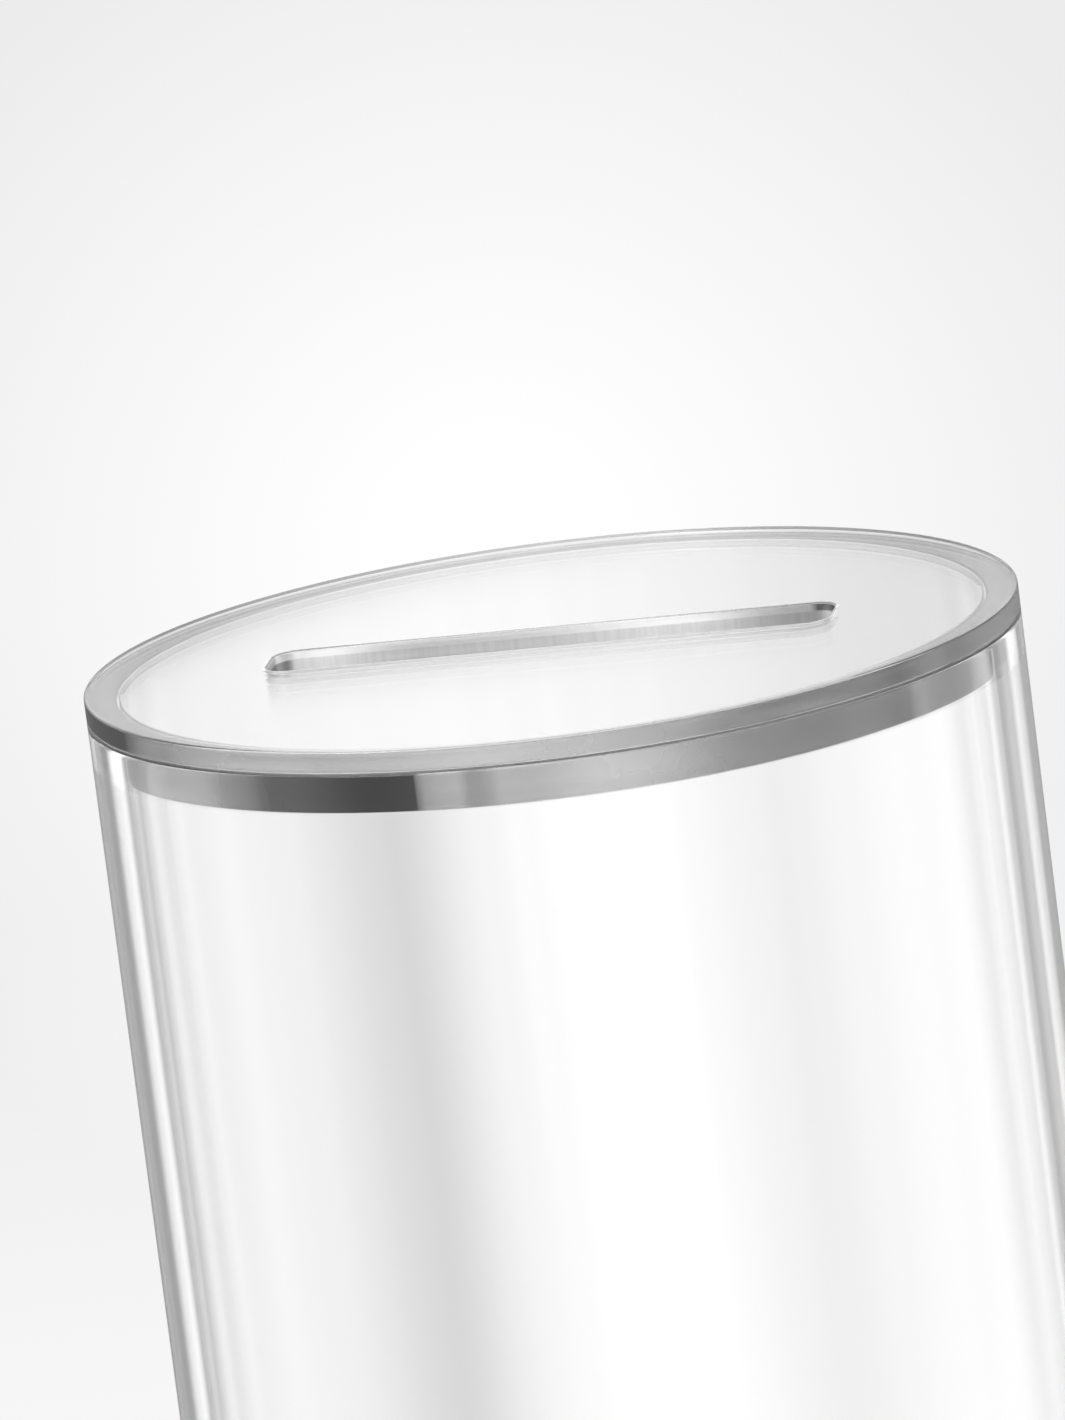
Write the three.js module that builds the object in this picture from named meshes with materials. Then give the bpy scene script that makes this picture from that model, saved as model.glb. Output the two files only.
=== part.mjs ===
// Donation box: an upright clear acrylic tube with a glued base and a loose slotted lid.
// Millimetres, +Z up. The origin is on the ground under the middle of the tube, and the slot
// runs along X.

import * as THREE from "three";

// Driving dimensions.
const TUBE_OUTER_DIAMETER = 130;
const TUBE_WALL = 4.5;
const TUBE_LENGTH = 250;
const THIN_SHEET = 3; // sheet of the lid's plate and of the base's locating disc
const THICK_SHEET = 6; // sheet of the lid's plug and of the base's plate
const SLOT_LENGTH = 79; // tip to tip, wide enough for a banknote put in short edge first
const SLOT_WIDTH = 12.4;
const SLOT_CORNER_RADIUS = 3.5;
const FOOT_DIAMETER = 12;
const FOOT_HEIGHT = 3;
const FOOT_EDGE_RADIUS = 0.8;
const FOOT_CIRCLE_DIAMETER = 104; // circle that the feet's centres lie on
const JOINT_GAP = 0.3; // film of cement or adhesive, and the lid's seat on the rim
const PLUG_CLEARANCE = 0.3; // all round, between a disc and the bore that it drops into

// Facets of the round shapes.
const TUBE_FACETS = 128;
const SLOT_CORNER_FACETS = 6;
const FOOT_FACETS = 32;
const FOOT_EDGE_STEPS = 4;

// Worked out from the driving dimensions.
const OUTER_RADIUS = TUBE_OUTER_DIAMETER / 2;
const INNER_RADIUS = OUTER_RADIUS - TUBE_WALL;
const DISC_RADIUS = INNER_RADIUS - PLUG_CLEARANCE;
const BASE_PLATE_Z = FOOT_HEIGHT + JOINT_GAP;
const TUBE_Z = BASE_PLATE_Z + THICK_SHEET + JOINT_GAP;
const RIM_Z = TUBE_Z + TUBE_LENGTH;
const LID_PLATE_Z = RIM_Z + JOINT_GAP;
const LID_PLUG_Z = LID_PLATE_Z - JOINT_GAP - THICK_SHEET;

const CLEAR_ACRYLIC = { color: 0xe9ecec, roughness: 0.03, metalness: 0 };
const CLEAR_POLYURETHANE = { color: 0xdfe2e0, roughness: 0.25, metalness: 0 };

// A named piece with a material of its own, see-through to the given opacity.
function piece(name, geometry, finish, opacity) {
  const material = new THREE.MeshStandardMaterial({ ...finish, transparent: true, opacity });
  const mesh = new THREE.Mesh(geometry, material);
  mesh.name = name;
  return mesh;
}

// A ring or solid of revolution about Z, from [radius, height] points in anticlockwise order.
function turned(profile, facets) {
  const points = profile.map(([radius, height]) => new THREE.Vector2(radius, height));
  return new THREE.LatheGeometry(points, facets).rotateX(Math.PI / 2);
}

// The outline of a round disc.
function circleOutline(radius) {
  const outline = new THREE.Shape();
  for (let i = 0; i < TUBE_FACETS; i += 1) {
    const angle = (2 * Math.PI * i) / TUBE_FACETS;
    const x = radius * Math.cos(angle);
    const y = radius * Math.sin(angle);
    if (i === 0) outline.moveTo(x, y);
    else outline.lineTo(x, y);
  }
  outline.closePath();
  return outline;
}

// The money slot: a long rectangle along X with rounded corners.
function slotOutline() {
  const cornerX = SLOT_LENGTH / 2 - SLOT_CORNER_RADIUS;
  const cornerY = SLOT_WIDTH / 2 - SLOT_CORNER_RADIUS;
  const outline = new THREE.Path();
  for (let corner = 0; corner < 4; corner += 1) {
    const signX = corner === 0 || corner === 3 ? 1 : -1;
    const signY = corner < 2 ? 1 : -1;
    for (let i = 0; i <= SLOT_CORNER_FACETS; i += 1) {
      const angle = (Math.PI / 2) * (corner + i / SLOT_CORNER_FACETS);
      const x = signX * cornerX + SLOT_CORNER_RADIUS * Math.cos(angle);
      const y = signY * cornerY + SLOT_CORNER_RADIUS * Math.sin(angle);
      if (corner === 0 && i === 0) outline.moveTo(x, y);
      else outline.lineTo(x, y);
    }
  }
  outline.closePath();
  return outline;
}

// A flat disc cut from sheet, standing on height z, with the slot through it if asked.
function cutDisc(radius, thickness, z, slotted) {
  const outline = circleOutline(radius);
  if (slotted) outline.holes.push(slotOutline());
  const disc = new THREE.ExtrudeGeometry(outline, { depth: thickness, bevelEnabled: false });
  return disc.translate(0, 0, z);
}

// The cast tube, square cut at both ends.
function tubeGeometry() {
  return turned(
    [
      [INNER_RADIUS, 0],
      [OUTER_RADIUS, 0],
      [OUTER_RADIUS, TUBE_LENGTH],
      [INNER_RADIUS, TUBE_LENGTH],
      [INNER_RADIUS, 0],
    ],
    TUBE_FACETS,
  ).translate(0, 0, TUBE_Z);
}

// A moulded bumper foot: a short round stud with a rounded bottom edge.
function footGeometry() {
  const radius = FOOT_DIAMETER / 2;
  const profile = [[0, 0]];
  for (let i = 0; i <= FOOT_EDGE_STEPS; i += 1) {
    const angle = (Math.PI / 2) * (i / FOOT_EDGE_STEPS);
    profile.push([
      radius - FOOT_EDGE_RADIUS + FOOT_EDGE_RADIUS * Math.sin(angle),
      FOOT_EDGE_RADIUS - FOOT_EDGE_RADIUS * Math.cos(angle),
    ]);
  }
  profile.push([radius, FOOT_HEIGHT], [0, FOOT_HEIGHT]);
  return turned(profile, FOOT_FACETS);
}

// The body that stands on the table: tube, glued base and four stuck-on feet.
function makeBody() {
  const body = new THREE.Group();
  body.add(piece("tube", tubeGeometry(), CLEAR_ACRYLIC, 0.25));
  body.add(
    piece("base_plate", cutDisc(OUTER_RADIUS, THICK_SHEET, BASE_PLATE_Z, false), CLEAR_ACRYLIC, 0.4),
  );
  body.add(
    piece("base_disc", cutDisc(DISC_RADIUS, THIN_SHEET, TUBE_Z, false), CLEAR_ACRYLIC, 0.4),
  );
  const footOffset = FOOT_CIRCLE_DIAMETER / 2 / Math.SQRT2;
  for (const [depthName, y] of [["front", -footOffset], ["rear", footOffset]]) {
    for (const [sideName, x] of [["left", -footOffset], ["right", footOffset]]) {
      const foot = piece(`foot_${depthName}_${sideName}`, footGeometry(), CLEAR_POLYURETHANE, 0.5);
      foot.position.set(x, y, 0);
      body.add(foot);
    }
  }
  return body;
}

// The lid that lifts off: a plate flush with the tube, glued to a plug that centres it.
function makeLid() {
  const lid = new THREE.Group();
  lid.add(
    piece("lid_plate", cutDisc(OUTER_RADIUS, THIN_SHEET, LID_PLATE_Z, true), CLEAR_ACRYLIC, 0.4),
  );
  lid.add(
    piece("lid_plug", cutDisc(DISC_RADIUS, THICK_SHEET, LID_PLUG_Z, true), CLEAR_ACRYLIC, 0.4),
  );
  return lid;
}

const donationBox = new THREE.Group();
donationBox.add(makeBody(), makeLid());

export default donationBox;
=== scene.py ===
import math

import bmesh
import bpy
from mathutils import Matrix, Vector


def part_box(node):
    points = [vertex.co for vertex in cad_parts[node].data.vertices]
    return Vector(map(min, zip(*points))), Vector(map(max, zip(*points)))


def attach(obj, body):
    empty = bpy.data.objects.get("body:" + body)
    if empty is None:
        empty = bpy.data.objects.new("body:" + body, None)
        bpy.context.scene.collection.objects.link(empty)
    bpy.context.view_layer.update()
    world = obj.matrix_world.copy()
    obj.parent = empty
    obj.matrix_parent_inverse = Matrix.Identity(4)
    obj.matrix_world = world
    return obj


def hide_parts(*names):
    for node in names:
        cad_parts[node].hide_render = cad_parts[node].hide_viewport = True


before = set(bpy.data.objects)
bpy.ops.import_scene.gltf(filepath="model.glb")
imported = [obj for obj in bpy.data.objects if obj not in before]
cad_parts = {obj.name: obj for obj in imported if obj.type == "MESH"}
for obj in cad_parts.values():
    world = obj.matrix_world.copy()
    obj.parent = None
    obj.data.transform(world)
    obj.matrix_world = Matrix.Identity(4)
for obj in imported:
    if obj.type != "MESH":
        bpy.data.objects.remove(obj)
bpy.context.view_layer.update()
MM = 0.001

# Sizes taken from the frame. Radii are half a node's width in X.
node_low, node_high = {}, {}
for node_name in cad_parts:
    node_low[node_name], node_high[node_name] = (Vector(corner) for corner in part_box(node_name))
TUBE_RADIUS = node_high["tube"].x
DISC_RADIUS = node_high["lid_plug"].x
WALL = TUBE_RADIUS - DISC_RADIUS - 0.3 * MM  # the discs clear the bore by 0.3 mm
BORE_RADIUS = TUBE_RADIUS - WALL
LID_TOP = node_high["lid_plate"].z

# The money slot's own sizes: the box that the record keeps free in it lies inside these.
SLOT_LENGTH = 79.0 * MM
SLOT_WIDTH = 12.4 * MM
SLOT_CORNER = 3.5 * MM

EDGE_ROUND = 0.25 * MM  # radius left on a cut edge once it is scraped and flamed
ROUND_STEPS = 4
SEGMENTS = 384  # around every round wall

# ---------------------------------------------------------------- camera
VIEW_AZIMUTH = math.radians(9.7)
VIEW_ELEVATION = math.radians(12.2)
VIEW_ROLL = math.radians(7.3)
CAMERA_DISTANCE = 34.8 * TUBE_RADIUS
LENS_MM = 415.2
AIM_RIGHT = 0.0376 * TUBE_RADIUS  # how far the lid's centre lies right of the picture's middle
AIM_UP = 0.1558 * TUBE_RADIUS


def front_back_vector():
    """From the object towards the camera of the front view."""
    return Vector((
        math.sin(VIEW_AZIMUTH) * math.cos(VIEW_ELEVATION),
        -math.cos(VIEW_AZIMUTH) * math.cos(VIEW_ELEVATION),
        math.sin(VIEW_ELEVATION),
    ))


def add_camera():
    back = front_back_vector()
    level_right = Vector((math.cos(VIEW_AZIMUTH), math.sin(VIEW_AZIMUTH), 0))
    level_up = back.cross(level_right)
    right = level_right * math.cos(VIEW_ROLL) - level_up * math.sin(VIEW_ROLL)
    up = level_right * math.sin(VIEW_ROLL) + level_up * math.cos(VIEW_ROLL)
    target = Vector((0, 0, LID_TOP)) - right * AIM_RIGHT - up * AIM_UP
    data = bpy.data.cameras.new("camera")
    data.sensor_fit = "VERTICAL"
    data.sensor_height = 36
    data.lens = LENS_MM
    data.clip_start = 0.05
    data.clip_end = 100
    camera = bpy.data.objects.new("camera", data)
    camera.matrix_world = Matrix.Translation(target + back * CAMERA_DISTANCE) @ Matrix(
        (right, up, back)
    ).transposed().to_4x4()
    bpy.context.scene.collection.objects.link(camera)
    bpy.context.scene.camera = camera


# ---------------------------------------------------------------- node helpers
def srgb(code, alpha=1.0):
    """An sRGB hex colour as linear values."""
    values = [int(code[i : i + 2], 16) / 255 for i in (1, 3, 5)]
    linear = [v / 12.92 if v <= 0.04045 else ((v + 0.055) / 1.055) ** 2.4 for v in values]
    return (*linear, alpha)


def add_node(tree, kind, settings=None, links=None):
    """Adds one node: settings name its properties or input sockets, links feed its inputs."""
    node = tree.nodes.new(kind)
    for key, value in (settings or {}).items():
        if isinstance(key, int) or key in node.inputs:
            node.inputs[key].default_value = value
        else:
            setattr(node, key, value)
    for key, source in (links or {}).items():
        tree.links.new(source, node.inputs[key])
    return node


def new_material(name):
    material = bpy.data.materials.new(name)
    material.use_nodes = True
    material.node_tree.nodes.clear()
    return material, material.node_tree


# ---------------------------------------------------------------- mesh helpers
def mesh_object(name, bm, material, smooth=True):
    """An object from a bmesh, linked into the scene."""
    bm.normal_update()
    mesh = bpy.data.meshes.new(name)
    bm.to_mesh(mesh)
    bm.free()
    mesh.materials.append(material)
    for polygon in mesh.polygons:
        polygon.use_smooth = smooth
    piece = bpy.data.objects.new(name, mesh)
    bpy.context.scene.collection.objects.link(piece)
    return piece


def rounded_wall(radius, z_low, z_high, edge, outward):
    """Profile points (offset from the wall, height) up an upright wall with both edges rounded.

    outward is 1 for a wall that faces away from the axis and -1 for one that faces it, and the
    points run from the flat at z_low to the flat at z_high.
    """
    points = [(radius - outward * 3 * edge, z_low)]
    for i in range(ROUND_STEPS + 1):
        angle = math.pi / 2 * i / ROUND_STEPS
        points.append((
            radius - outward * edge * (1 - math.sin(angle)),
            z_low + edge * (1 - math.cos(angle)),
        ))
    points.append((radius, z_low + 3 * edge))
    points.append((radius, z_high - 3 * edge))
    for i in range(ROUND_STEPS + 1):
        angle = math.pi / 2 * i / ROUND_STEPS
        points.append((
            radius - outward * edge * (1 - math.cos(angle)),
            z_high - edge * (1 - math.sin(angle)),
        ))
    points.append((radius - outward * 3 * edge, z_high))
    return points


def turned_solid(profile, segments):
    """A solid of revolution from a profile that starts and ends on the axis."""
    bm = bmesh.new()
    foot, crown = bm.verts.new((0, 0, profile[0][1])), bm.verts.new((0, 0, profile[-1][1]))
    rings = []
    for radius, z in profile[1:-1]:
        rings.append([
            bm.verts.new((
                radius * math.cos(2 * math.pi * i / segments),
                radius * math.sin(2 * math.pi * i / segments),
                z,
            ))
            for i in range(segments)
        ])
    for i in range(segments):
        j = (i + 1) % segments
        bm.faces.new((foot, rings[0][j], rings[0][i]))
        for low, high in zip(rings, rings[1:]):
            bm.faces.new((low[i], low[j], high[j], high[i]))
        bm.faces.new((rings[-1][i], rings[-1][j], crown))
    return bm


def ring_solid(outer_points, inner_points):
    """A closed ring from lists of rings of points: up the outside, then down the inside."""
    bm = bmesh.new()
    rings = [[bm.verts.new(p) for p in ring] for ring in outer_points + inner_points]
    for low, high in zip(rings, rings[1:] + rings[:1]):
        for i in range(len(low)):
            j = (i + 1) % len(low)
            bm.faces.new((low[i], low[j], high[j], high[i]))
    return bm


def circle_points(radius, z):
    return [
        (
            radius * math.cos(2 * math.pi * i / SEGMENTS),
            radius * math.sin(2 * math.pi * i / SEGMENTS),
            z,
        )
        for i in range(SEGMENTS)
    ]


def slot_points(grown, z):
    """The slot's outline, grown outwards by a distance, as many points as a circle has.

    A quarter of it runs from the middle of a short side round a corner to the middle of a long
    side, and the other quarters are its mirror images.
    """
    corner_x = SLOT_LENGTH / 2 - SLOT_CORNER
    corner_y = SLOT_WIDTH / 2 - SLOT_CORNER
    radius = SLOT_CORNER + grown
    quarter = SEGMENTS // 4
    short, bend = quarter // 12, quarter // 4
    corner = [(corner_x + radius, corner_y * i / short) for i in range(short)]
    for i in range(bend):
        angle = math.pi / 2 * i / bend
        corner.append((corner_x + radius * math.cos(angle), corner_y + radius * math.sin(angle)))
    long = quarter - short - bend
    corner += [(corner_x * (1 - i / long), corner_y + radius) for i in range(long)]
    middle = (0, corner_y + radius)
    left = [middle] + [(-x, y) for x, y in corner[:0:-1]]
    half = corner + left
    return [(x, y, z) for x, y in half] + [(-x, -y, z) for x, y in half]


# ---------------------------------------------------------------- materials
# Several finishes below are stand-ins. They give the tones that the front view needs, where the
# real ones come from a room that isn't known: the outer skin of the tube, the painted shade and
# reflections on the lid's edges, and the painted light and shade on the slot's wall. None of them
# is known to be on a real box.
CLEAR = "#FEFEFE"
COAT_IOR = 2.0  # higher than a real varnish: it raises the tube's reflections to the level seen


def acrylic(name, line_size, line_strength, haze_range, colour, mirror=0.5, coat=None):
    """Clear cast acrylic (PMMA, refractive index 1.49).

    line_size is how wide and how tall the surface's fine lines are, in mm. colour is what the
    surface lets through, a hex code or a function that makes a pattern, and mirror how much of
    its clean reflection is left (0.5 is all). coat makes the weight of a glossy outer skin.
    """
    material, tree = new_material(name)
    place = add_node(tree, "ShaderNodeTexCoord").outputs["Object"]
    across, along = (1 / (size * MM) for size in line_size)
    stretched = add_node(
        tree, "ShaderNodeMapping", {"Scale": (across, across, along)}, {"Vector": place}
    )
    lines = add_node(
        tree,
        "ShaderNodeTexNoise",
        {"Scale": 1.0, "Detail": 3.0, "Roughness": 0.55},
        {"Vector": stretched.outputs["Vector"]},
    )
    bump = add_node(
        tree,
        "ShaderNodeBump",
        {"Strength": line_strength, "Distance": 0.02 * MM},
        {"Height": lines.outputs["Fac"]},
    )
    smudges = add_node(
        tree,
        "ShaderNodeTexNoise",
        {"Scale": 1 / (35 * MM), "Detail": 4.0, "Roughness": 0.6, "Distortion": 0.4},
        {"Vector": place},
    )
    haze = add_node(
        tree,
        "ShaderNodeMapRange",
        {"From Min": 0.52, "From Max": 0.78, "To Min": haze_range[0], "To Max": haze_range[1]},
        {"Value": smudges.outputs["Fac"]},
    )
    shader = add_node(
        tree,
        "ShaderNodeBsdfPrincipled",
        {
            "Metallic": 0.0,
            "IOR": 1.49,
            "Specular IOR Level": mirror,
            "Transmission Weight": 1.0,
            "Coat IOR": COAT_IOR,
            "Coat Roughness": 0.0,
        },
        {"Roughness": haze.outputs["Result"], "Normal": bump.outputs["Normal"]},
    )
    if callable(colour):
        tree.links.new(colour(tree, place), shader.inputs["Base Color"])
    else:
        shader.inputs["Base Color"].default_value = srgb(colour)
    if coat is not None:
        tree.links.new(coat(tree, place), shader.inputs["Coat Weight"])
    add_node(
        tree, "ShaderNodeOutputMaterial", None, {"Surface": shader.outputs["BSDF"]}
    )
    return material


def colour_between(tree, factor, *colours):
    """Mixes two colours, each a hex code or a socket."""
    mixed = add_node(tree, "ShaderNodeMix", {"data_type": "RGBA"}, {"Factor": factor})
    for socket, colour in zip((mixed.inputs[6], mixed.inputs[7]), colours):
        if isinstance(colour, str):
            socket.default_value = srgb(colour)
        else:
            tree.links.new(colour, socket)
    return mixed.outputs[2]


def step_between(tree, value, start, end, low=0.0, high=1.0, shape="SMOOTHSTEP"):
    """From low to high as a value goes from start to end, smoothly unless shape is LINEAR."""
    return add_node(
        tree,
        "ShaderNodeMapRange",
        {
            "interpolation_type": shape,
            "From Min": start,
            "From Max": end,
            "To Min": low,
            "To Max": high,
        },
        {"Value": value},
    ).outputs["Result"]


def entering_only(tree, colour):
    """The colour where light is on its way in, and clear where it leaves the piece again.

    A real tint dims light both ways. This painted shade doesn't, so that a tone set here is the
    tone seen.
    """
    side = add_node(tree, "ShaderNodeNewGeometry").outputs["Backfacing"]
    return colour_between(tree, side, colour, CLEAR)


def glossy_skin(tree, place):
    """The tube's outer skin: everywhere but beside the lid's plug, which is seen more clearly."""
    parts = add_node(tree, "ShaderNodeSeparateXYZ", None, {"Vector": place})
    plug_low = node_low["lid_plug"].z
    return step_between(
        tree, parts.outputs["Z"], plug_low + 0.5 * MM, plug_low + 0.9 * MM, 1.0, 0.0
    )


def painted_shade_round_edge(tree, place, shade_stops):
    """How much painted shade on a disc's edge lets through, all round it.

    Its list of stops gives degrees to the right of the side that faces the front view, each with
    the share let through. The pattern is fixed to the disc.
    """
    parts = add_node(tree, "ShaderNodeSeparateXYZ", None, {"Vector": place})
    around = add_node(
        tree,
        "ShaderNodeMath",
        {"operation": "ARCTAN2"},
        {0: parts.outputs["Y"], 1: parts.outputs["X"]},
    )
    forwards = add_node(
        tree,
        "ShaderNodeMath",
        {"operation": "ADD", 1: math.pi / 2 - VIEW_AZIMUTH},
        {0: around.outputs[0]},
    )
    turn = add_node(
        tree,
        "ShaderNodeMath",
        {"operation": "WRAP", 1: math.pi, 2: -math.pi},
        {0: forwards.outputs[0]},
    )
    share = add_node(
        tree,
        "ShaderNodeMapRange",
        {"From Min": -math.pi, "From Max": math.pi},
        {"Value": turn.outputs[0]},
    )
    ramp = add_node(tree, "ShaderNodeValToRGB", None, {"Fac": share.outputs["Result"]})
    stops = ramp.color_ramp.elements
    while len(stops) < len(shade_stops):
        stops.new(0.5)
    for stop, (angle, level) in zip(stops, shade_stops):
        stop.position = angle / 360 + 0.5
        stop.color = (level, level, level, 1)
    return entering_only(tree, ramp.outputs["Color"])


def plug_painted_shade(tree, place):
    """The plug's edge: a painted dark reflection at the front left, painted bars of light and
    shade beside it, and painted shade at the right.
    """
    return painted_shade_round_edge(tree, place, (
        (-180, 0.3), (-76, 0.5), (-58, 0.7), (-52, 0.5), (-49, 0.15), (-42, 0.0), (-19.5, 0.0),
        (-18, 0.55), (-13.5, 0.75), (-13, 0.25), (-10, 0.25), (-9.5, 0.7), (-4, 0.5), (6, 0.5),
        (12, 0.4), (24, 0.25), (37, 0.11), (46, 0.03), (50, 0.03), (51, 0.25), (54, 0.05),
        (62, 0.05), (75, 0.15), (180, 0.3),
    ))


def plate_painted_shade(tree, place):
    """The lid plate's edge: painted shade, duller at the right, and dark at the far left."""
    return painted_shade_round_edge(tree, place, (
        (-180, 0.33), (-90, 0.0), (-66, 0.0), (-57, 0.3), (-45, 0.47), (-30, 0.32), (-12, 0.54),
        (0, 0.42), (12, 0.3), (20, 0.15), (26, 0.14), (32, 0.2), (38, 0.16), (45, 0.05),
        (56, 0.15), (70, 0.4), (180, 0.33),
    ))


def laser_lines_and_painted_light(tree, place):
    """The slot's wall: grey painted shade with fine upright lines as a laser leaves them, under a
    band of painted light at the top.
    """
    parts = add_node(tree, "ShaderNodeSeparateXYZ", None, {"Vector": place})
    painted_light_band = step_between(tree, parts.outputs["Z"], LID_TOP - 1.3 * MM, LID_TOP - 1.0 * MM)
    across = 1 / (0.9 * MM)
    flat = add_node(tree, "ShaderNodeMapping", {"Scale": (across, across, 0)}, {"Vector": place})
    lines = add_node(
        tree,
        "ShaderNodeTexNoise",
        {"Scale": 1.0, "Detail": 2.0, "Roughness": 0.7},
        {"Vector": flat.outputs["Vector"]},
    )
    grey = add_node(
        tree,
        "ShaderNodeMapRange",
        {"From Min": 0.35, "From Max": 0.65, "To Min": 0.3, "To Max": 0.0},
        {"Value": lines.outputs["Fac"]},
    )
    shade = add_node(
        tree,
        "ShaderNodeMath",
        {"operation": "ADD", "use_clamp": True},
        {0: painted_light_band, 1: grey.outputs[0]},
    )
    # Grey painted shade on the wall, near-white painted light in its top band.
    wall = colour_between(tree, shade.outputs[0], "#BEBEBE", "#FCFCFC")
    # Painted shade: darker low at the left end and high at the far right.
    left_end = step_between(tree, parts.outputs["X"], -37 * MM, -38.3 * MM, 0.0, 0.8)
    right_end = step_between(tree, parts.outputs["X"], 35.3 * MM, 36.8 * MM)
    far = step_between(tree, parts.outputs["Y"], 1 * MM, 3 * MM)
    corner = add_node(tree, "ShaderNodeMath", {"operation": "MULTIPLY"}, {0: right_end, 1: far})
    painted_end_shade = add_node(
        tree,
        "ShaderNodeMix",
        None,
        {"Factor": painted_light_band, "A": left_end, "B": corner.outputs[0]},
    )
    return entering_only(tree, colour_between(tree, painted_end_shade.outputs[0], wall, "#383838"))


def polyurethane():
    """Clear cast polyurethane bumper: soft, a little milky, satin skin."""
    material, tree = new_material("clear_polyurethane")
    place = add_node(tree, "ShaderNodeTexCoord")
    skin = add_node(
        tree,
        "ShaderNodeTexNoise",
        {"Scale": 1 / (0.8 * MM), "Detail": 2.0},
        {"Vector": place.outputs["Object"]},
    )
    bump = add_node(
        tree,
        "ShaderNodeBump",
        {"Strength": 0.25, "Distance": 0.03 * MM},
        {"Height": skin.outputs["Fac"]},
    )
    shader = add_node(
        tree,
        "ShaderNodeBsdfPrincipled",
        {
            "Base Color": srgb("#E8E8E8"),
            "Roughness": 0.22,
            "IOR": 1.5,
            "Transmission Weight": 0.85,
        },
        {"Normal": bump.outputs["Normal"]},
    )
    add_node(
        tree, "ShaderNodeOutputMaterial", None, {"Surface": shader.outputs["BSDF"]}
    )
    return material


# ---------------------------------------------------------------- pieces
def upright_ring(node, outer_radius, inner_radius, material, name):
    low, high = node_low[node].z, node_high[node].z
    outer = [
        circle_points(r, z) for r, z in rounded_wall(outer_radius, low, high, EDGE_ROUND, 1)
    ]
    inner = [
        circle_points(r, z) for r, z in rounded_wall(inner_radius, low, high, EDGE_ROUND, -1)
    ]
    return mesh_object(name, ring_solid(outer, inner[::-1]), material)


def slotted_disc(node, radius, material, name):
    low, high = node_low[node].z, node_high[node].z
    outer = [circle_points(r, z) for r, z in rounded_wall(radius, low, high, EDGE_ROUND, 1)]
    inner = [slot_points(r, z) for r, z in rounded_wall(0, low, high, EDGE_ROUND, -1)]
    return mesh_object(name, ring_solid(outer, inner[::-1]), material)


def plain_disc(node, radius, material, name):
    low, high = node_low[node].z, node_high[node].z
    profile = [(0, low), *rounded_wall(radius, low, high, EDGE_ROUND, 1), (0, high)]
    return mesh_object(name, turned_solid(profile, SEGMENTS), material)


def finish_edges(piece, *materials):
    """Gives a disc's outer wall, and then its slot's wall, finishes of their own."""
    for material in materials:
        piece.data.materials.append(material)
    for polygon in piece.data.polygons:
        if abs(polygon.normal.z) < 0.5:
            in_slot = polygon.center.to_2d().length < 0.8 * DISC_RADIUS
            polygon.material_index = 2 if in_slot else 1


def finish_tube(piece, outside, ends):
    """Gives the tube's outer wall and its sawn ends finishes of their own."""
    piece.data.materials.append(outside)
    piece.data.materials.append(ends)
    for polygon in piece.data.polygons:
        outwards = Vector((polygon.center.x, polygon.center.y, 0)).normalized()
        if abs(polygon.normal.z) > 0.9:
            polygon.material_index = 2
        elif polygon.normal.dot(outwards) > 0:
            polygon.material_index = 1


def hand_over(piece, body, slot, *nodes):
    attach(piece, body)
    if nodes:
        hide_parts(*nodes)


def make_feet(material):
    """Four bumpers on a circle, placed by Geometry Nodes."""
    feet = [name for name in node_low if name.startswith("foot_")]
    low, high = node_low[feet[0]], node_high[feet[0]]
    centre = (low + high) / 2
    radius = (high.x - low.x) / 2
    height = high.z
    edge = 0.8 * MM
    profile = [(0, 0), (radius - 2 * edge, 0)]
    for i in range(9):
        angle = math.pi / 2 * i / 8
        profile.append((
            radius - edge * (1 - math.sin(angle)),
            edge * (1 - math.cos(angle)),
        ))
    profile += [
        (radius, height - 0.3 * MM),
        (radius - 0.08 * MM, height - 0.08 * MM),
        (radius - 0.3 * MM, height),
        (0, height),
    ]
    foot = mesh_object("foot_shape", turned_solid(profile, 64), material)
    tree = bpy.data.node_groups.new("place_feet", "GeometryNodeTree")
    tree.interface.new_socket("Radius", in_out="INPUT", socket_type="NodeSocketFloat")
    tree.interface.new_socket("Count", in_out="INPUT", socket_type="NodeSocketInt")
    tree.interface.new_socket("Foot", in_out="INPUT", socket_type="NodeSocketObject")
    tree.interface.new_socket("Material", in_out="INPUT", socket_type="NodeSocketMaterial")
    tree.interface.new_socket("Geometry", in_out="OUTPUT", socket_type="NodeSocketGeometry")
    given = add_node(tree, "NodeGroupInput")
    circle = add_node(
        tree,
        "GeometryNodeMeshCircle",
        None,
        {"Radius": given.outputs["Radius"], "Vertices": given.outputs["Count"]},
    )
    turned = add_node(
        tree,
        "GeometryNodeTransform",
        {"Rotation": (0, 0, math.pi / 4)},
        {"Geometry": circle.outputs["Mesh"]},
    )
    shape = add_node(tree, "GeometryNodeObjectInfo", None, {"Object": given.outputs["Foot"]})
    placed = add_node(
        tree,
        "GeometryNodeInstanceOnPoints",
        None,
        {"Points": turned.outputs["Geometry"], "Instance": shape.outputs["Geometry"]},
    )
    real = add_node(
        tree, "GeometryNodeRealizeInstances", None, {"Geometry": placed.outputs["Instances"]}
    )
    finished = add_node(
        tree,
        "GeometryNodeSetMaterial",
        None,
        {"Geometry": real.outputs["Geometry"], "Material": given.outputs["Material"]},
    )
    add_node(
        tree, "NodeGroupOutput", None, {"Geometry": finished.outputs["Geometry"]}
    )
    holder = bpy.data.objects.new("feet_maker", bpy.data.meshes.new("feet_maker"))
    bpy.context.scene.collection.objects.link(holder)
    values = {
        "Radius": math.hypot(centre.x, centre.y),
        "Count": len(feet),
        "Foot": foot,
        "Material": material,
    }
    return settle(holder, tree, values, "bumper_feet"), feet, foot


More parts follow.
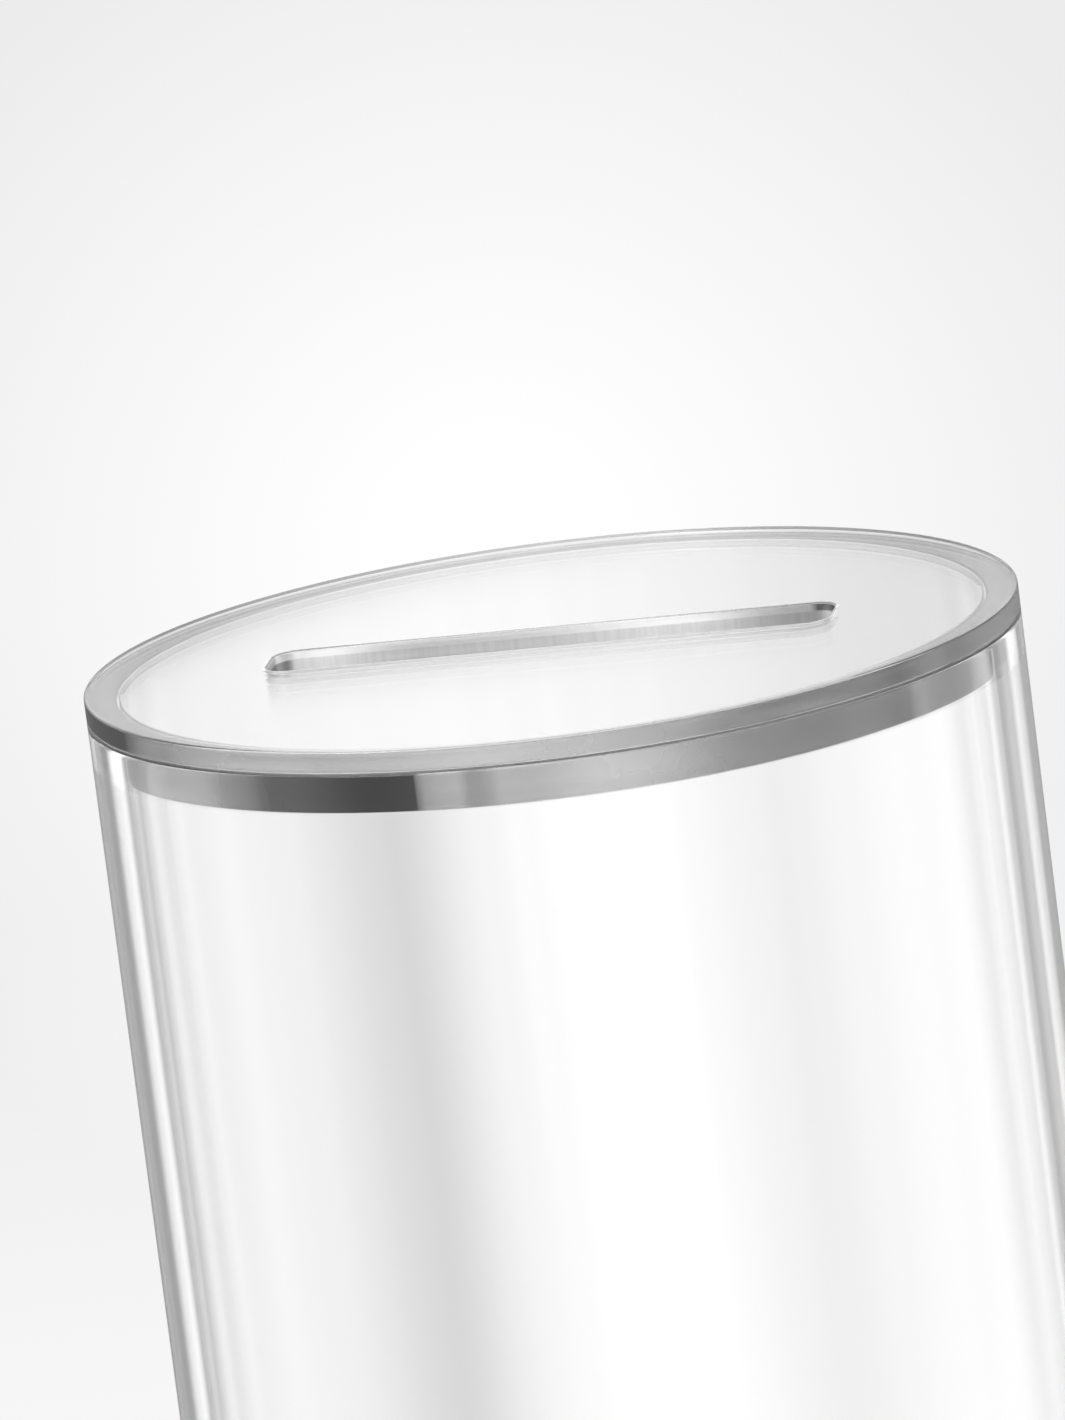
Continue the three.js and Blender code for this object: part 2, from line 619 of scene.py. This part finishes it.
def settle(holder, tree, values, name):
    """Runs a Geometry Nodes tree on the holder and keeps its result as a plain mesh."""
    modifier = holder.modifiers.new("maker", "NODES")
    modifier.node_group = tree
    for item in tree.interface.items_tree:
        if item.item_type == "SOCKET" and item.in_out == "INPUT" and item.name in values:
            modifier[item.identifier] = values[item.name]
    bpy.context.view_layer.update()
    graph = bpy.context.evaluated_depsgraph_get()
    mesh = bpy.data.meshes.new_from_object(holder.evaluated_get(graph))
    mesh.name = name
    for polygon in mesh.polygons:
        polygon.use_smooth = True
    holder.modifiers.remove(modifier)
    bpy.data.objects.remove(holder)
    piece = bpy.data.objects.new(name, mesh)
    bpy.context.scene.collection.objects.link(piece)
    return piece


# ---------------------------------------------------------------- stage
FLOOR_RADIUS = 0.75
FLOOR_FADE = 0.25  # where the floor starts to fade into the backdrop
FLOOR_GLOW, FLOOR_GLOW_SHARE = 0.9, 0.65  # keeps it near white and still takes a shadow
BACKDROP_FAR = 0.84  # the backdrop's level away from its bright middle
SPOT_FULL, SPOT_EDGE = math.radians(0.45), math.radians(2.5)
THROUGH_LEVEL = 0.78  # the room as clear pieces pass it on, darker than the backdrop

# The room is a stand-in too. It isn't one room: mirrored light, light let through and light guided
# inside a wall each meet levels of their own, tuned for the front view.

# The room's light panels as clear walls mirror them: degrees to the right of the direction that
# the front view looks in, and brightness. The strongest one stands behind the camera.
PANELS = (
    (-180, 2.5), (-157, 1.8), (-145, 0.9), (-134, 0.2), (-120, 0.9), (-106, 1.4), (-91, 1.6),
    (-74, 1.3), (-52, 0.8), (-30, 0.4), (-5, 0.4), (0, 0.8), (5, 0.4), (30, 0.6), (52, 1.0),
    (74, 1.8), (91, 2.0), (106, 1.9), (120, 1.6), (133, 1.5), (145, 1.9), (157, 2.3), (169, 2.6),
    (180, 2.5),
)
PANEL_PEAK = 4.0

# What level faces mirror: ahead in the front view, to its sides, and in all other directions.
CEILING_BRIGHT, CEILING_DIM, CEILING_ROUND = 1.12, 0.72, 0.85
CEILING_FULL, CEILING_EDGE = math.radians(0.1), math.radians(1.7)

# Light guided inside the walls and discs: strips below the horizon, two sides and a back above.
STRIPS = 14
STRIP_TURN = math.radians(30)
STRIP_DARK, STRIP_BRIGHT, STRIP_MEAN = 0.25, 1.5, 0.8
GUIDED_DARK, GUIDED_BRIGHT, GUIDED_BEHIND = 0.03, 0.95, 0.8

OVERHEAD_LEVEL = 0.5  # what passes straight through upwards
OTHER_LEVEL = 0.85  # light that scatters, neither mirrored nor let through
SPOT_RIGHT, SPOT_UP = -0.0008, 0.0092  # where the backdrop's bright middle lies, in radians
LOWER_LIFT = 0.09  # how much brighter the backdrop gets below the middle


def ray_kinds(tree):
    """Light Path's outputs: a seen ray, one that was last mirrored, one last let through."""
    path = add_node(tree, "ShaderNodeLightPath")
    mirrored = add_node(
        tree,
        "ShaderNodeMath",
        {"operation": "SUBTRACT", "use_clamp": True},
        {0: path.outputs["Is Glossy Ray"], 1: path.outputs["Is Transmission Ray"]},
    )
    guided = add_node(
        tree,
        "ShaderNodeMath",
        {"operation": "MINIMUM", 1: 1.0},
        {0: path.outputs["Glossy Depth"]},
    )
    return {
        "seen": path.outputs["Is Camera Ray"],
        "mirrored": mirrored.outputs[0],
        "let_through": path.outputs["Is Transmission Ray"],
        "guided": guided.outputs[0],
    }


def add_world():
    world = bpy.data.worlds.new("studio")
    world.use_nodes = True
    tree = world.node_tree
    tree.nodes.clear()

    def math_node(operation, a, b=None, c=None, clamp=False):
        node = add_node(tree, "ShaderNodeMath", {"operation": operation, "use_clamp": clamp})
        for socket, value in enumerate((a, b, c)):
            if isinstance(value, (int, float)):
                node.inputs[socket].default_value = value
            elif value is not None:
                tree.links.new(value, node.inputs[socket])
        return node.outputs[0]

    def mix(factor, a, b):
        return math_node("MULTIPLY_ADD", factor, math_node("SUBTRACT", b, a), a)

    place = add_node(tree, "ShaderNodeTexCoord").outputs["Generated"]
    parts = add_node(tree, "ShaderNodeSeparateXYZ", None, {"Vector": place})
    around = math_node("ARCTAN2", parts.outputs["X"], parts.outputs["Y"])
    # Turned so that 0 is the direction that the front view looks in, and wrapped to half turns.
    turned = math_node("WRAP", math_node("ADD", around, VIEW_AZIMUTH), math.pi, -math.pi)
    aside = math_node("ABSOLUTE", turned)
    above = step_between(tree, parts.outputs["Z"], -0.05, 0.05, shape="LINEAR")

    def by_angle(value, start, end, low, high, shape="SMOOTHSTEP"):
        return step_between(
            tree, value, math.radians(start), math.radians(end), low, high, shape
        )

    # The panels, mirrored by upright walls.
    ramp = add_node(
        tree,
        "ShaderNodeValToRGB",
        None,
        {"Fac": math_node("MULTIPLY_ADD", turned, 1 / (2 * math.pi), 0.5)},
    )
    ramp.color_ramp.interpolation = "CARDINAL"
    stops = ramp.color_ramp.elements
    while len(stops) < len(PANELS):
        stops.new(0.5)
    for stop, (angle, level) in zip(stops, PANELS):
        stop.position = angle / 360 + 0.5
        share = level / PANEL_PEAK
        stop.color = (share, share, share, 1)
    panels = math_node("MULTIPLY", ramp.outputs["Color"], PANEL_PEAK)
    ceiling = step_between(
        tree, aside, CEILING_FULL, CEILING_EDGE, CEILING_BRIGHT, CEILING_DIM
    )
    off_axis = by_angle(aside, 3, 12, 0.0, 1.0, "LINEAR")
    mirrored_level = mix(above, panels, mix(off_axis, ceiling, CEILING_ROUND))

    # The strips, carried round corners inside the clear walls and discs.
    swing = math_node(
        "COSINE", math_node("MULTIPLY_ADD", turned, float(STRIPS), STRIPS * STRIP_TURN)
    )
    strips = step_between(tree, swing, -0.3, 1.0, STRIP_DARK, STRIP_BRIGHT)
    ahead = by_angle(aside, 38, 60, 1.0, 0.12)
    strips = mix(ahead, STRIP_MEAN, strips)
    left_to_right = by_angle(turned, -40, 5, GUIDED_DARK, GUIDED_BRIGHT)
    far_right = by_angle(turned, 40, 55, 1.0, 0.05)
    behind = by_angle(aside, 80, 100, 0.0, 1.0)
    sides = mix(behind, math_node("MULTIPLY", left_to_right, far_right), GUIDED_BEHIND)
    rays = ray_kinds(tree)
    guided_level = mix(above, strips, sides)
    straight_level = mix(above, THROUGH_LEVEL, OVERHEAD_LEVEL)
    through_level = mix(rays["guided"], straight_level, guided_level)

    # The backdrop: white in the middle of the front view, a little grey around it.
    back = front_back_vector()
    right = Vector((math.cos(VIEW_AZIMUTH), math.sin(VIEW_AZIMUTH), 0))
    middle = (-back + SPOT_RIGHT * right + SPOT_UP * back.cross(right)).normalized()
    away = add_node(
        tree,
        "ShaderNodeVectorMath",
        {"operation": "DISTANCE", 1: middle},
        {0: place},
    ).outputs["Value"]
    spot = step_between(tree, away, SPOT_FULL, SPOT_EDGE, 1.0, BACKDROP_FAR, "LINEAR")
    level_ahead = -math.sin(VIEW_ELEVATION)
    lower = step_between(
        tree,
        parts.outputs["Z"],
        level_ahead - math.radians(0.5),
        level_ahead - math.radians(2.2),
        0.0,
        LOWER_LIFT,
        "LINEAR",
    )
    backdrop = math_node("MINIMUM", math_node("ADD", spot, lower), 1.0)

    level = mix(rays["mirrored"], OTHER_LEVEL, mirrored_level)
    level = mix(rays["let_through"], level, through_level)
    level = mix(rays["seen"], level, backdrop)
    light = add_node(
        tree, "ShaderNodeBackground", {"Color": (1, 1, 1, 1)}, {"Strength": level}
    )
    add_node(tree, "ShaderNodeOutputWorld", None, {"Surface": light.outputs["Background"]})
    bpy.context.scene.world = world


def add_floor():
    bm = bmesh.new()
    bmesh.ops.create_circle(bm, cap_ends=True, radius=FLOOR_RADIUS, segments=96)
    material, tree = new_material("white_paper_floor")
    place = add_node(tree, "ShaderNodeTexCoord")
    distance = add_node(
        tree,
        "ShaderNodeVectorMath",
        {"operation": "LENGTH"},
        {"Vector": place.outputs["Object"]},
    )
    fade = step_between(tree, distance.outputs["Value"], FLOOR_FADE, FLOOR_RADIUS * 0.9)
    rays = ray_kinds(tree)
    paper = add_node(tree, "ShaderNodeBsdfDiffuse", {"Color": srgb("#F4F4F4")})
    glow_level = add_node(
        tree,
        "ShaderNodeMath",
        {"operation": "MULTIPLY_ADD", 1: THROUGH_LEVEL - FLOOR_GLOW, 2: FLOOR_GLOW},
        {0: rays["let_through"]},
    )
    glow = add_node(
        tree, "ShaderNodeEmission", {"Color": (1, 1, 1, 1)}, {"Strength": glow_level.outputs[0]}
    )
    looked_at = add_node(
        tree, "ShaderNodeMath", {"operation": "MAXIMUM"}, {0: rays["seen"], 1: rays["let_through"]}
    )
    share = add_node(
        tree,
        "ShaderNodeMath",
        {"operation": "MULTIPLY", 1: FLOOR_GLOW_SHARE},
        {0: looked_at.outputs[0]},
    )
    lit = add_node(
        tree,
        "ShaderNodeMixShader",
        None,
        {0: share.outputs[0], 1: paper.outputs[0], 2: glow.outputs[0]},
    )
    clear = add_node(tree, "ShaderNodeBsdfTransparent")
    gone = add_node(
        tree,
        "ShaderNodeMath",
        {"operation": "MAXIMUM"},
        {0: fade, 1: rays["mirrored"]},
    )
    surface = add_node(
        tree,
        "ShaderNodeMixShader",
        None,
        {0: gone.outputs[0], 1: lit.outputs[0], 2: clear.outputs[0]},
    )
    add_node(tree, "ShaderNodeOutputMaterial", None, {"Surface": surface.outputs[0]})
    floor = mesh_object("floor", bm, material, smooth=False)


def add_lamp(name, place, size, watts):
    data = bpy.data.lights.new(name, "AREA")
    data.shape = "DISK"
    data.size = size
    data.energy = watts
    lamp = bpy.data.objects.new(name, data)
    place = Vector(place)
    aim = Vector((0, 0, LID_TOP / 2)) - place
    turn = aim.to_track_quat("-Z", "Y").to_matrix().to_4x4()
    lamp.matrix_world = Matrix.Translation(place) @ turn
    bpy.context.scene.collection.objects.link(lamp)


# ---------------------------------------------------------------- make it all
scene = bpy.context.scene
scene.view_settings.view_transform = "Standard"
scene.cycles.max_bounces = 32
scene.cycles.transmission_bounces = 32
scene.cycles.glossy_bounces = 24
scene.cycles.transparent_max_bounces = 24

add_camera()
add_world()
add_floor()
add_lamp("softbox", (-0.9, -0.9, 1.6), 0.9, 9)

# The tube is cast and polished, with faint lines along it from drawing it off its mould.
bore_finish = acrylic("cast_acrylic_bore", (3.85, 333), 0.2, (0.0, 0.004), CLEAR)
tube_finish = acrylic(
    "coated_acrylic_tube", (3.85, 333), 0.2, (0.0, 0.004), CLEAR, coat=glossy_skin
)
# The sheet is cast between glass plates, and keeps their gloss with a slight unevenness.
face_finish = acrylic("cast_acrylic_sheet", (25, 25), 0.1, (0.0, 0.01), CLEAR)
# The discs are cut out by laser, which leaves fine upright lines and dims the edge.
edge_finish = acrylic(
    "laser_cut_acrylic_edge", (1.11, 250), 0.5, (0.25, 0.35), "#C8C8C8", 0.25
)
# The lid plate's edge carries painted shade.
plate_finish = acrylic(
    "acrylic_plate_edge_painted_shade", (1.11, 250), 0.5, (0.25, 0.35), plate_painted_shade, 0.1
)
# The plug's edge carries painted shade and a painted dark reflection.
plug_finish = acrylic(
    "acrylic_plug_edge_painted_shade", (1.11, 250), 0.5, (0.25, 0.35), plug_painted_shade, 0.1
)
# The slot's wall carries painted light and shade over its laser lines.
slot_finish = acrylic(
    "laser_cut_acrylic_slot_painted_light", (0.667, 250), 0.6, (0.3, 0.45), laser_lines_and_painted_light, 0.25
)
# The tube is sawn to length and sanded, so its ends are a little hazy.
sawn_finish = acrylic("sawn_acrylic_end", (2.5, 250), 0.4, (0.15, 0.3), "#E2E2E2", 0.4)
foot_finish = polyurethane()

tube = upright_ring("tube", TUBE_RADIUS, BORE_RADIUS, bore_finish, "clear_tube")
finish_tube(tube, tube_finish, sawn_finish)
hand_over(tube, "body", "acrylic_tube", "tube")
base_plate = plain_disc("base_plate", TUBE_RADIUS, face_finish, "clear_base_plate")
finish_edges(base_plate, edge_finish)
hand_over(base_plate, "body", "acrylic_sheet", "base_plate")
base_disc = plain_disc("base_disc", DISC_RADIUS, face_finish, "clear_base_disc")
finish_edges(base_disc, edge_finish)
hand_over(base_disc, "body", "acrylic_sheet", "base_disc")
lid_plate = slotted_disc("lid_plate", TUBE_RADIUS, face_finish, "clear_lid_plate")
finish_edges(lid_plate, plate_finish, slot_finish)
hand_over(lid_plate, "lid", "acrylic_sheet", "lid_plate")
lid_plug = slotted_disc("lid_plug", DISC_RADIUS, face_finish, "clear_lid_plug")
finish_edges(lid_plug, plug_finish, slot_finish)
hand_over(lid_plug, "lid", "acrylic_sheet", "lid_plug")
feet_piece, feet_nodes, foot_shape = make_feet(foot_finish)
bpy.data.objects.remove(foot_shape)
hand_over(feet_piece, "body", "polyurethane_foot", *feet_nodes)
